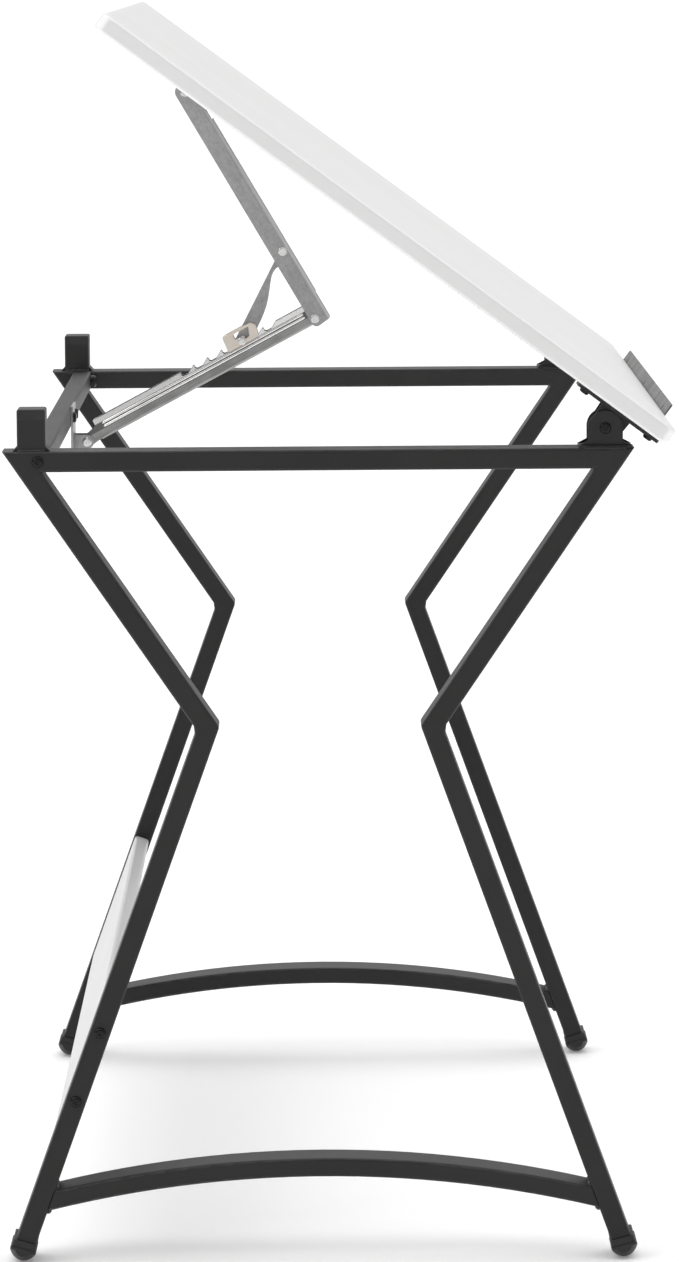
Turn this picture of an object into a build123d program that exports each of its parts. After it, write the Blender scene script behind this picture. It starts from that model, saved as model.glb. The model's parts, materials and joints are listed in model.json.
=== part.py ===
from build123d import *
import os
from math import asin, atan2, cos, degrees, hypot, radians, sin, sqrt, tan

# A tilting drafting table. X runs across its width, -Y is the user's side, +Y the rear, +Z up.
# The origin is on the floor, under the middle of the frame. Lengths are in millimetres.

# ---------------------------------------------------------------- driving dimensions
TOP_WIDTH = 1067.0
TOP_DEPTH = 610.0
TOP_THICKNESS = 16.0
TOP_PLAN_RADIUS = 12.0
TOP_EDGE_RADIUS = 3.5
REST_TILT = 36.5                # angle of the top as it stands, in degrees

FRAME_WIDTH = 986.0             # outside to outside of the two side frames
RAIL_LENGTH = 550.0             # tip to tip
RAIL_TOP = 720.0
TUBE_FACE = 18.0                # the side of the tube seen from the side of the table
TUBE_DEPTH = 40.0               # its other side, along X
TUBE_WALL = 1.5
TUBE_ROUND = 2.2
WAIST_SPAN = 196.0              # between the tube centrelines at the waist
WAIST_HEIGHT = 476.0
WAIST_TIP_ROUND = 5.0
WAIST_FLAT = 8.0
LEG_SPARE = 40.0                # extra length before a leg's ends are cut
FOOT_SPAN = 540.0               # between the leg centrelines at the floor

ARCH_FACE = 16.5
ARCH_CROWN = 93.0               # top of the arch bar at its middle
ARCH_RISE = 27.0
ARCH_SPAN = 470.0

CROSSBAR_SIDE = 18.0
CROSSBAR_FROM_TIP = 22.0        # its rear face, in from the rail's rear tip

POST_FROM_TIP = 25.5            # middle of the post, in from the rail's rear tip
POST_LENGTH = 25.0
POST_WIDTH = 34.0
POST_CAP = 9.0
POST_CAP_ROUND = 2.0
POST_WALL = 1.5
WELD_LEG = 4.0

BOARD_THICKNESS = 15.0
BOARD_ROUND = 3.0
BOARD_ASIDE = 0.7               # its middle, outwards from the leg's centreline
BOARD_HEIGHT = 137.0
BOARD_BELOW_WAIST = 259.5       # along the leg, from the waist to the board's upper edge
BOARD_BOLT_DROPS = (27.0, 92.0)  # along the leg, from the board's upper edge

CAP_WALL = 1.6
CAP_FACE = 21.6                 # across the sleeve, in the side view
CAP_LEAN = 15.5                 # degrees from upright, less than the leg's own lean
CAP_SLEEVE = 8.8                # length, from its end at the domed toe
CAP_RIM = 2.4
CAP_RIM_PROUD = 0.8
CAP_DOME = (27.0, 14.0, 16.3)   # half axes of the toe's dome: across, fore and aft, and down
CAP_DOME_RISE = 4.5             # of the dome's middle above the sleeve's end
CAP_TOE_FLAT = 0.3              # how deep the flat for the floor is cut into the dome
CAP_FLOOR = 1.5                 # solid toe between the sleeve's end and the tube's
CAP_CLEARANCE = 0.1             # round a cap or plug that is pressed on or in

PIVOT_FROM_TIP = 25.0           # hinge axis, back from the rail's front tip
PIVOT_ABOVE_RAIL = 17.0
PIVOT_TO_UNDERSIDE = 20.0
TOP_FRONT_REACH = 48.0          # from the hinge axis to the top's front edge
HINGE_PLATE = 2.0
HINGE_EAR = 2.5
HINGE_INNER_GAP = 19.0          # between the ears of the top's bracket
HINGE_FLANGE = (36.0, 86.0)
HINGE_FLANGE_THICK = 4.5
HINGE_FLANGE_START = -44.4      # from the hinge axis
HINGE_SCREW_PLACES = (-35.7, 32.7)
HINGE_EAR_WIDTH = 30.0
HINGE_OUTER_EAR = 15.2
HINGE_BOLT_RADIUS = 3.0
HINGE_BASE = (37.0, 46.0)
PLATE_ROUND = 4.0

LINK_LENGTH = 247.0             # between the pivots of the channel and of the arm
BASE_PIVOT_FORWARD = 14.6       # from the crossbar's front face
BASE_PIVOT_BELOW_RAIL = 33.0
ARM_PIVOT_ALONG = 468.0         # from the hinge axis, along the top
ARM_PIVOT_BELOW = 16.5          # under the top's underside
SHEET = 1.5                     # thickness of the channel, the arm and the latch
BRACKET_SHEET = 2.0
CHANNEL_WIDTH = 20.0
CHANNEL_HEIGHT = 20.0
CHANNEL_BELOW = 4.8             # its web, below the line between its pivots
CHANNEL_BEND = 2.5
CHANNEL_TAILS = (6.0, 14.0)     # past the elbow pivot, and short of the base pivot
TONGUE_RADIUS = 5.5
TONGUE_ROOT = 12.0              # how far it starts inside the channel
TONGUE_DROP = 3.0
NOSE_CUT = 8.0                  # the slanting corner at the elbow's end
BEAD_PROUD = 0.7
BEAD_WIDTH = 2.2
BEAD_LEVELS = (6.0, 9.4)
BEAD_ENDS = (14.0, 226.0)
TOOTH_PITCH = 15.0
TOOTH_COUNT = 7
TOOTH_HEIGHT = 4.2
TOOTH_TIP = 1.5
FIRST_TOOTH = 109.0             # from the base pivot
PIN_FROM_BASE = 175.4           # ratchet pin, along the channel from the base pivot
PIN_RADIUS = 2.8
TOOTH_SEAT = 6.72               # flat at the bottom of a notch
TOOTH_CORNER = 2.24
ARM_HEIGHT = 19.0
ARM_EDGE_AT_ELBOW = 5.0         # its open edge, from the line between its pivots
ARM_EDGE_AT_TOP = 9.0
ARM_BEND = 5.5
ARM_TAILS = (8.3, 9.0)
ARM_ROUNDS = ((0, 5.0), (1, 8.0), (2, 8.0), (3, 2.0))    # corner number and radius
ARM_WEB_STOP = 36.0             # the web ends this far short of the top pivot
ARM_WEB_START = 22.0            # and starts this far from the elbow
STRUT_PIVOT_ALONG = 70.5        # on the arm, from the elbow
STRUT_PIVOT_ASIDE = 5.0
STRUT_SHEET = 2.0
STRUT_WIDTH = 12.0
STRUT_FOOT = 6.2                # radius round the ratchet pin
STRUT_TOP_GAP = 9.5             # left between the strut's end and the arm's web
STRUT_TOP = (1.0, -12.0)        # its end's two corners along the arm, from the strut's rivet
STRUT_TOP_ROUND = 5.8           # at the first of them
STRUT_BACK = (15.0, -5.6)       # a corner of its straight edge, along and aside from the ratchet pin
STRUT_BELLY = ((5.0, 7.0), (22.0, 8.3), (39.0, 7.6), (60.0, 2.4), (70.5, 0.2))    # its curved edge
ELBOW_HEAD = 1.0
LATCH_REACH = (-19.0, 16.5)     # either way along the channel from the ratchet pin
LATCH_HEIGHT = 15.5
LATCH_BRIDGE_LENGTH = 6.0
LATCH_LAP = 0.4                 # of the latch's sides, below the roots of the teeth
LATCH_SLOT = (17.0, 5.6)
LATCH_SLOT_PLACE = (7.0, 8.0)   # from its front end, and below its top
LATCH_STEP = (4.2, 3.5)         # the slot's deeper part: clear of the pin's middle, and depth
LATCH_CUT = 4.0                 # slanting corners at its front end
LATCH_ROUNDS = ((2, 1.5), (3, 1.5), (4, 2.0))
BASE_PLATE = (62.0, 42.0)
BASE_PLATE_RISE = 2.0           # above the crossbar
BASE_BOLT_SPACING = 42.0
BASE_BOLT_DROP = 8.5            # below the rail's top
EAR_RADIUS = 6.5
EAR_ROOT = 6.5                  # how high the base bracket's ear meets its plate
TOP_PLATE = (58.0, 62.0)
TOP_PLATE_SCREWS = (42.0, 42.0)
TOP_PLATE_ROUND = 5.0

LEDGE_LENGTH = 688.0
LEDGE_HEIGHT = 24.0
LEDGE_THICKNESS = 1.6
LEDGE_RISE = 10.5
LEDGE_SCREW_SPACING = 290.0
LEDGE_SCREW_LEVEL = 8.0         # below the top's upper surface
LEDGE_SCREW_COUNT = 3
LEDGE_ROUND = 3.0
LEDGE_HEAD_GAP = 0.1            # between a ledge screw's head and the ledge

FRAME_BOLT_RADIUS = 3.0
FRAME_BOLT_HEAD = (5.0, 3.0)    # radius and height
FRAME_BOLT_SOCKET = (2.0, 1.6)
BOLT_GRIP = 8.0                 # of a crossbar bolt in its plug
PLUG_LENGTH = 24.0
LOCK_BOLT_FROM_END = 15.0
LOCK_BOLT_HEAD = (6.0, 6.5)
LOCK_BOLT_SHORT = 3.0           # its end, from the crossbar's rear wall
BOARD_BOLT_GRIP = 26.0
INSERT_RADIUS = 5.0
INSERT_LENGTH = 20.0
NUT_RADIUS = 5.6
NUT_HEIGHT = 5.0
RIVET_RADIUS = 2.4
RIVET_HEAD = (4.6, 2.0)
PIN_HEAD = (4.0, 1.8)
BOLT_DOME = 0.75                # rounding of a head's rim, as a share of the head's height
RIVET_DOME = 0.85
SCREW_DOME = 0.7
FRONT_HEAD_DOME = 0.6
WOOD_SCREW_RADIUS = 2.0
WOOD_SCREW_LENGTH = 12.0
WOOD_SCREW_HEAD = (4.4, 1.9)
HINGE_SCREW_HEAD = (4.4, 3.0)

RUNNING = 0.05                  # radial clearance of a pin in its hole
SEAT = 0.3                      # gap between faces that slide past each other

# ---------------------------------------------------------------- places worked out from them
OUTER_X = FRAME_WIDTH / 2
INNER_X = OUTER_X - TUBE_DEPTH
RAIL_X = OUTER_X - TUBE_DEPTH / 2
RAIL_TIP = RAIL_LENGTH / 2
RAIL_MID = RAIL_TOP - TUBE_FACE / 2
WAIST = (WAIST_SPAN / 2, WAIST_HEIGHT)
FOOT = (FOOT_SPAN / 2, 0.0)
CROSSBAR_REAR = RAIL_TIP - CROSSBAR_FROM_TIP
CROSSBAR_FRONT = CROSSBAR_REAR - CROSSBAR_SIDE
CROSSBAR_MID = (CROSSBAR_REAR - CROSSBAR_SIDE / 2, RAIL_TOP - CROSSBAR_SIDE / 2)
PIVOT = (PIVOT_FROM_TIP - RAIL_TIP, RAIL_TOP + PIVOT_ABOVE_RAIL)
TOP_SURFACE = PIVOT_TO_UNDERSIDE + TOP_THICKNESS
BASE_PIVOT = (CROSSBAR_FRONT - BASE_PIVOT_FORWARD, RAIL_TOP - BASE_PIVOT_BELOW_RAIL)
ARM_PIVOT_LOCAL = (ARM_PIVOT_ALONG, PIVOT_TO_UNDERSIDE - ARM_PIVOT_BELOW)
CHANNEL_OUT = CHANNEL_WIDTH / 2
CHANNEL_IN = CHANNEL_OUT - SHEET
LATCH_IN = CHANNEL_OUT + SEAT
LATCH_OUT = LATCH_IN + SHEET
ARM_IN = LATCH_OUT + SEAT
ARM_OUT = ARM_IN + SHEET
STRUT_OUT = STRUT_WIDTH / 2
LATCH_EAR = CHANNEL_IN - SEAT - STRUT_OUT - SEAT
BASE_BOLT_Z = RAIL_TOP - BASE_BOLT_DROP
LOCK_BOLT_X = INNER_X - LOCK_BOLT_FROM_END
LOCK_BOLT_REACH = CROSSBAR_SIDE - TUBE_WALL - LOCK_BOLT_SHORT
LOCK_BOLT_GRIP = CROSSBAR_SIDE - 2 * TUBE_WALL
POST_Y = RAIL_TIP - POST_FROM_TIP
POST_TUBE = PIVOT[1] + PIVOT_TO_UNDERSIDE - SEAT - POST_CAP - RAIL_TOP
HINGE_HALF = HINGE_INNER_GAP / 2 + 2 * HINGE_EAR + SEAT
HINGE_INNER_RADIUS = PIVOT_ABOVE_RAIL - HINGE_PLATE - 1.0
LIFTER_SCREWS = [(x * TOP_PLATE_SCREWS[0] / 2, ARM_PIVOT_LOCAL[0] + y * TOP_PLATE_SCREWS[1] / 2)
                 for x in (-1, 1) for y in (-1, 1)]
LEDGE_SCREW_XS = [LEDGE_SCREW_SPACING * (n - (LEDGE_SCREW_COUNT - 1) / 2) for n in range(LEDGE_SCREW_COUNT)]
LEDGE_SCREW_Z = TOP_SURFACE - LEDGE_SCREW_LEVEL
EAR_IN = CHANNEL_OUT + SEAT
EAR_OUT = EAR_IN + BRACKET_SHEET


def tilted(point, angle=REST_TILT):
    """Row-frame place of a point given along and above the hinge axis on the tilted top."""
    a = radians(angle)
    y, z = point
    return (PIVOT[0] + y * cos(a) - z * sin(a), PIVOT[1] + y * sin(a) + z * cos(a))


def meeting_point(a, b, length):
    """The front one of the two points at this length from both a and b."""
    dy, dz = b[0] - a[0], b[1] - a[1]
    span = hypot(dy, dz)
    rise = sqrt(length ** 2 - span ** 2 / 4)
    return ((a[0] + b[0]) / 2 - dz / span * rise, (a[1] + b[1]) / 2 + dy / span * rise)


ARM_PIVOT = tilted(ARM_PIVOT_LOCAL)
ELBOW = meeting_point(BASE_PIVOT, ARM_PIVOT, LINK_LENGTH)


# ---------------------------------------------------------------- helpers
def save(name, solids):
    """Writes one node, as one solid or as a group of separate solids."""
    if not isinstance(solids, (list, tuple)):
        solids = [solids]
    flat = [s for item in solids for s in item.solids()]
    shape = flat[0] if len(flat) == 1 else Compound(children=flat)
    export_step(shape, f"parts/{name}.step")


def pin(x0, x1, radius, at):
    """A round bar along X."""
    start, length = min(x0, x1), abs(x1 - x0)
    return Plane.YZ.offset(start) * Pos(at[0], at[1]) * Cylinder(
        radius, length, align=(Align.CENTER, Align.CENTER, Align.MIN))


def facing(x):
    """Which way along X is outwards there."""
    return 1.0 if x > 0 else -1.0


def mirrored(solid, plane=Plane.YZ):
    return mirror(solid, about=plane)


def four_ways(solid):
    """The rear left-hand piece's solid copied to the four corners of the frame."""
    rear = [solid, mirrored(solid)]
    return rear + [mirrored(s, Plane.XZ) for s in rear]


def outline(points, rounds=()):
    """A side view with these (y, z) corners; rounds lists (corner number, radius)."""
    face = make_face(Polyline(*points, close=True))
    for number, radius in rounds:
        y, z = points[number]
        corner = min(face.vertices(), key=lambda v: (v.X - y) ** 2 + (v.Y - z) ** 2)
        face = fillet(corner, radius)
    return face


def cut_away(solid, at, towards):
    """Removes what lies beyond a plane through (y, z) at, on the side that towards points to."""
    plane = Plane(origin=(0, at[0], at[1]), z_dir=(0, towards[0], towards[1]))
    return split(solid, bisect_by=plane, keep=Keep.BOTTOM)


def tube_blank(side, hollow):
    """A rectangular tube with that side view, rounded long edges and a hollow."""
    blank = extrude(Plane.YZ.offset(-OUTER_X) * side, amount=TUBE_DEPTH, dir=(1, 0, 0))
    long_edges = [e for e in blank.edges() if abs(e.bounding_box().size.X) < 1e-6]
    blank = fillet(long_edges, TUBE_ROUND)
    core = extrude(Plane.YZ.offset(-OUTER_X + TUBE_WALL) * hollow,
                   amount=TUBE_DEPTH - 2 * TUBE_WALL, dir=(1, 0, 0))
    return blank - core


def unit(y, z):
    length = hypot(y, z)
    return (y / length, z / length)


def along(start, direction, distance, aside=0.0):
    """A point that far along a direction, and that far to the left of it."""
    return (start[0] + direction[0] * distance - direction[1] * aside,
            start[1] + direction[1] * distance + direction[0] * aside)


# ---------------------------------------------------------------- side frames
# The upper leg's outer edge passes through the rail's tip, half a tube from its centreline.
TIP_FROM_WAIST = (RAIL_TIP - WAIST[0], RAIL_TOP - WAIST[1])
UPPER_LEAN = atan2(*TIP_FROM_WAIST) - asin(TUBE_FACE / 2 / hypot(*TIP_FROM_WAIST))
UPPER_WAY = (sin(UPPER_LEAN), cos(UPPER_LEAN))
LOWER_WAY = unit(FOOT[0] - WAIST[0], FOOT[1] - WAIST[1])
LOWER_LEAN = atan2(LOWER_WAY[0], -LOWER_WAY[1])
CORNER = (WAIST[0] + (RAIL_MID - WAIST[1]) * tan(UPPER_LEAN), RAIL_MID)
CORNER_MITRE = unit(UPPER_WAY[0] - 1.0, UPPER_WAY[1])   # normal of the cut, pointing out of the rail
WAIST_MITRE = unit(UPPER_WAY[0] - LOWER_WAY[0], UPPER_WAY[1] - LOWER_WAY[1])
CAP_WAY = (sin(radians(CAP_LEAN)), -cos(radians(CAP_LEAN)))
TOE_REACH = hypot(CAP_DOME[1] * CAP_WAY[0], CAP_DOME[2] * CAP_WAY[1])   # the dome's, below its middle
TOE_HEIGHT = TOE_REACH - CAP_TOE_FLAT + CAP_DOME_RISE * CAP_WAY[1]
TOE_MIDDLE = along(FOOT, LOWER_WAY, -TOE_HEIGHT / cos(LOWER_LEAN))
TUBE_END = along(TOE_MIDDLE, LOWER_WAY, -CAP_FLOOR)
BOARD_BOLTS = [along(WAIST, LOWER_WAY, BOARD_BELOW_WAIST + drop) for drop in BOARD_BOLT_DROPS]


def leg_corners(half):
    """The two corners of a leg's side view at the waist: the tip, and the hollow behind it."""
    way = unit(UPPER_WAY[0] + LOWER_WAY[0], UPPER_WAY[1] + LOWER_WAY[1])
    reach = half / abs(UPPER_WAY[0] * way[1] - UPPER_WAY[1] * way[0])
    return along(WAIST, way, -reach), along(WAIST, way, reach)


def leg_points(half):
    """Side view of a whole rear leg, longer than the leg at both ends."""
    top, end = along(CORNER, UPPER_WAY, LEG_SPARE), along(FOOT, LOWER_WAY, LEG_SPARE)
    tip, hollow = leg_corners(half)
    return [along(top, UPPER_WAY, 0, half), tip, along(end, LOWER_WAY, 0, -half),
            along(end, LOWER_WAY, 0, half), hollow, along(top, UPPER_WAY, 0, -half)]


def whole_leg():
    """A rear leg before its ends are cut, rounded at the waist's tip and flat across its hollow."""
    points = leg_points(TUBE_FACE / 2)
    side = outline(points, [(1, WAIST_TIP_ROUND)])
    hollow = min(side.vertices(), key=lambda v: hypot(v.X - points[4][0], v.Y - points[4][1]))
    side = chamfer(hollow, WAIST_FLAT / 2 / cos((UPPER_LEAN + LOWER_LEAN) / 2))
    return tube_blank(side, outline(leg_points(TUBE_FACE / 2 - TUBE_WALL)))


def rail():
    """The side frame's top tube, mitred to both of its upper legs."""
    reach = RAIL_TIP + LEG_SPARE

    def side(half):
        return outline([(-reach, RAIL_MID - half), (reach, RAIL_MID - half),
                        (reach, RAIL_MID + half), (-reach, RAIL_MID + half)])

    tube = tube_blank(side(TUBE_FACE / 2), side(TUBE_FACE / 2 - TUBE_WALL))
    tube = cut_away(tube, CORNER, (-CORNER_MITRE[0], -CORNER_MITRE[1]))
    return cut_away(tube, (-CORNER[0], CORNER[1]), (CORNER_MITRE[0], -CORNER_MITRE[1]))


def upper_leg():
    """The rear leg from its mitre at the rail to its mitre at the waist."""
    leg = cut_away(whole_leg(), CORNER, CORNER_MITRE)
    return cut_away(leg, WAIST, (-WAIST_MITRE[0], -WAIST_MITRE[1]))


def lower_leg():
    """The rear leg from its mitre at the waist to its square end in the foot cap."""
    leg = cut_away(whole_leg(), WAIST, WAIST_MITRE)
    return cut_away(leg, TUBE_END, LOWER_WAY)


def arch_bar():
    """A tube bent to a shallow arch, cut to lie against the inner faces of the two lower legs."""
    radius = ((ARCH_SPAN / 2) ** 2 + ARCH_RISE ** 2) / (2 * ARCH_RISE)
    centre = (0, ARCH_CROWN - radius)
    reach = ARCH_SPAN / 2 + LEG_SPARE
    window = Pos(0, ARCH_CROWN) * Rectangle(2 * reach, radius)

    def side(trim):
        ring = Pos(*centre) * (Circle(radius - trim) - Circle(radius - ARCH_FACE + trim))
        return (ring & window).faces()[0]

    tube = tube_blank(side(0), side(TUBE_WALL))
    face = along(FOOT, LOWER_WAY, 0, -TUBE_FACE / 2)
    out = (-LOWER_WAY[1], LOWER_WAY[0])
    tube = cut_away(tube, face, out)
    return cut_away(tube, (-face[0], face[1]), (-out[0], out[1]))


def drill(solid, *bars):
    """Takes each bar out of the solid."""
    for bar in bars:
        solid = solid - bar
    return solid


def bolt(x, way, at, radius, length, head, socket=FRAME_BOLT_SOCKET):
    """A button-headed bolt along X whose head stands on the face at x and points the given way."""
    end = x + way * head[1]
    shape = pin(x - way * length, x, radius, at)
    cap = pin(x, end, head[0], at)
    rim = cap.edges().filter_by(GeomType.CIRCLE).sort_by(lambda e: way * e.center().X)[-1]
    cap = fillet(rim, head[1] * BOLT_DOME)
    hexagon = Plane.YZ.offset(min(end, end - way * socket[1])) * Pos(*at) * RegularPolygon(socket[0], 6)
    return shape + cap - extrude(hexagon, amount=socket[1], dir=(1, 0, 0))


def rivet(x0, x1, at, radius=RIVET_RADIUS, head=RIVET_HEAD):
    """A shank along X from x0 to x1 with a domed head standing on the face at x1."""
    way = facing(x1 - x0)
    cap = pin(x1, x1 + way * head[1], head[0], at)
    rim = cap.edges().filter_by(GeomType.CIRCLE).sort_by(lambda e: way * e.center().X)[-1]
    return pin(x0, x1, radius, at) + fillet(rim, head[1] * RIVET_DOME)


def slab(face, x0, x1):
    """A side view made solid from x0 to x1."""
    return extrude(Plane.YZ.offset(x0) * face, amount=x1 - x0, dir=(1, 0, 0))


def block(x, y, z):
    """A box between two coordinates each way."""
    size = [abs(pair[1] - pair[0]) for pair in (x, y, z)]
    middle = [(pair[0] + pair[1]) / 2 for pair in (x, y, z)]
    return Pos(*middle) * Box(*size)


def on_top(solid):
    """Carries a solid drawn along and above the hinge axis to its place on the tilted top."""
    return Pos(0, *PIVOT) * Rot(REST_TILT, 0, 0) * solid


def upright_screw(x, y, z, way, head_size=WOOD_SCREW_HEAD):
    """A wood screw whose head stands on the face at z and points the given way along Z."""
    shank = Pos(x, y, z - way * WOOD_SCREW_LENGTH / 2) * Cylinder(WOOD_SCREW_RADIUS, WOOD_SCREW_LENGTH)
    head = Pos(x, y, z + way * head_size[1] / 2) * Cylinder(*head_size)
    rim = head.edges().filter_by(GeomType.CIRCLE).sort_by(lambda e: way * e.center().Z)[-1]
    return shank + fillet(rim, head_size[1] * SCREW_DOME)


def upright_hole(x, y, z, depth, radius=WOOD_SCREW_RADIUS + RUNNING):
    """What to take out for a screw: a bore from z up by depth."""
    return Pos(x, y, z + depth / 2) * Cylinder(radius, depth)


# ---------------------------------------------------------------- feet, posts and crossbar
def foot_cap():
    """A moulded cap over the rear left-hand leg's end: sleeve, rim and a toe domed both ways."""
    plane = Plane(origin=(-RAIL_X, *TOE_MIDDLE), x_dir=(1, 0, 0), z_dir=(0, *CAP_WAY))
    width = TUBE_DEPTH + 2 * (CAP_CLEARANCE + CAP_WALL)
    rim = (width + 2 * CAP_RIM_PROUD, CAP_FACE + 2 * CAP_RIM_PROUD)

    def bar(size, z0, z1):
        return extrude(plane.offset(z0) * RectangleRounded(*size, TUBE_ROUND + CAP_WALL), amount=z1 - z0)

    dome = plane.offset(-CAP_DOME_RISE) * scale(Sphere(1), by=CAP_DOME)
    cap = bar((width, CAP_FACE), -CAP_SLEEVE, 0) + bar(rim, -CAP_RIM, 0) + (bar(rim, 0, CAP_DOME[2]) & dome)
    bore = Plane(origin=(-RAIL_X, *TUBE_END), x_dir=(1, 0, 0), z_dir=(0, -LOWER_WAY[0], -LOWER_WAY[1]))
    cap -= extrude(bore * RectangleRounded(TUBE_DEPTH + 2 * CAP_CLEARANCE, TUBE_FACE + 2 * CAP_CLEARANCE,
                                           TUBE_ROUND + CAP_CLEARANCE), 3 * CAP_SLEEVE)
    return split(cap, bisect_by=Plane.XY, keep=Keep.TOP)


def rest_post():
    """A short tube welded to the rear left-hand end of the rail, with weld flares at its foot."""
    post = extrude(Plane(origin=(-RAIL_X, POST_Y, RAIL_TOP)) * RectangleRounded(
        POST_WIDTH, POST_LENGTH, TUBE_ROUND), POST_TUBE)
    post -= Pos(-RAIL_X, POST_Y, RAIL_TOP + POST_TUBE / 2) * Box(
        POST_WIDTH - 2 * POST_WALL, POST_LENGTH - 2 * POST_WALL, POST_TUBE)
    for way in (1, -1):
        edge = POST_Y + way * (POST_LENGTH / 2 - POST_WALL / 2)
        toe = min(POST_Y + way * (POST_LENGTH / 2 + WELD_LEG), RAIL_TIP)
        flare = outline([(edge, RAIL_TOP), (toe, RAIL_TOP), (edge, RAIL_TOP + WELD_LEG + 1)])
        post += slab(flare, -RAIL_X - POST_WIDTH / 2 + TUBE_ROUND, -RAIL_X + POST_WIDTH / 2 - TUBE_ROUND)
    return post


def post_cap():
    """A plug with a domed head that closes the post and carries the top when it lies flat."""
    cap = extrude(Plane(origin=(-RAIL_X, POST_Y, RAIL_TOP + POST_TUBE)) * RectangleRounded(
        POST_WIDTH, POST_LENGTH, TUBE_ROUND), POST_CAP)
    cap = fillet(cap.faces().sort_by(Axis.Z)[-1].edges(), POST_CAP_ROUND)
    skirt = 2 * (POST_WALL + CAP_CLEARANCE)
    plug = block((-RAIL_X - (POST_WIDTH - skirt) / 2, -RAIL_X + (POST_WIDTH - skirt) / 2),
                 (POST_Y - (POST_LENGTH - skirt) / 2, POST_Y + (POST_LENGTH - skirt) / 2),
                 (RAIL_TOP + POST_TUBE - POST_CAP, RAIL_TOP + POST_TUBE))
    return cap + plug


def crossbar():
    """The square tube between the rear ends of the two rails."""
    section = RectangleRounded(CROSSBAR_SIDE, CROSSBAR_SIDE, TUBE_ROUND)
    hollow = Rectangle(CROSSBAR_SIDE - 2 * TUBE_WALL, CROSSBAR_SIDE - 2 * TUBE_WALL)
    place = Plane.YZ.offset(-INNER_X) * Pos(*CROSSBAR_MID)
    tube = extrude(place * (section - hollow), amount=2 * INNER_X, dir=(1, 0, 0))
    for x in (-LOCK_BOLT_X, LOCK_BOLT_X, -BASE_BOLT_SPACING / 2, BASE_BOLT_SPACING / 2):
        level = CROSSBAR_MID[1] if abs(x) == LOCK_BOLT_X else BASE_BOLT_Z
        hole = Pos(x, CROSSBAR_FRONT, level) * Rot(90, 0, 0) * Cylinder(
            FRAME_BOLT_RADIUS + RUNNING, 3 * TUBE_WALL)
        tube -= hole
    return tube


def crossbar_plug():
    """A block inside the left-hand end of the crossbar, which the corner bolt threads into."""
    side = CROSSBAR_SIDE / 2 - TUBE_WALL - CAP_CLEARANCE
    y, z = CROSSBAR_MID
    plug = block((-INNER_X, -INNER_X + PLUG_LENGTH), (y - side, y + side), (z - side, z + side))
    plug -= pin(-INNER_X, -INNER_X + BOLT_GRIP + 2, FRAME_BOLT_RADIUS + RUNNING, CROSSBAR_MID)
    lock = Pos(-LOCK_BOLT_X, y - side + LOCK_BOLT_GRIP / 2, z) * Rot(90, 0, 0) * Cylinder(
        FRAME_BOLT_RADIUS + RUNNING, LOCK_BOLT_GRIP)
    return plug - lock


def front_bolt(x, z, y, length, head):
    """A round-headed bolt along Y whose head stands on the face at y and points to -Y."""
    shank = Pos(x, y + length / 2, z) * Rot(90, 0, 0) * Cylinder(FRAME_BOLT_RADIUS, length)
    cap = Pos(x, y - head[1] / 2, z) * Rot(90, 0, 0) * Cylinder(*head)
    rim = cap.edges().filter_by(GeomType.CIRCLE).sort_by(Axis.Y)[0]
    return shank + fillet(rim, min(head) * FRONT_HEAD_DOME)


# ---------------------------------------------------------------- back board
def board_place():
    """The back board's plane: Z square to it and outwards, Y up the leg."""
    top_edge = along(WAIST, LOWER_WAY, BOARD_BELOW_WAIST, BOARD_ASIDE)
    middle = along(top_edge, LOWER_WAY, BOARD_HEIGHT / 2)
    return Plane(origin=(0, *middle), x_dir=(-1, 0, 0), z_dir=(0, -LOWER_WAY[1], LOWER_WAY[0]))


def back_board():
    place = board_place()
    board = extrude(place.offset(-BOARD_THICKNESS / 2) * Rectangle(2 * INNER_X, BOARD_HEIGHT),
                    BOARD_THICKNESS)
    long_edges = [e for e in board.edges() if e.bounding_box().size.X > INNER_X]
    board = fillet(long_edges, BOARD_ROUND)
    for at in BOARD_BOLTS:
        for way in (-1, 1):
            board -= pin(way * INNER_X, way * (INNER_X - INSERT_LENGTH), INSERT_RADIUS + RUNNING, at)
            board -= pin(way * INNER_X, way * (INNER_X - BOARD_BOLT_GRIP - 2),
                         FRAME_BOLT_RADIUS + RUNNING, at)
    return board


def board_insert(at):
    """A threaded sleeve in the board's left-hand end."""
    return pin(-INNER_X, -INNER_X + INSERT_LENGTH, INSERT_RADIUS, at) - pin(
        -INNER_X, -INNER_X + INSERT_LENGTH, FRAME_BOLT_RADIUS + RUNNING, at)


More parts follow.
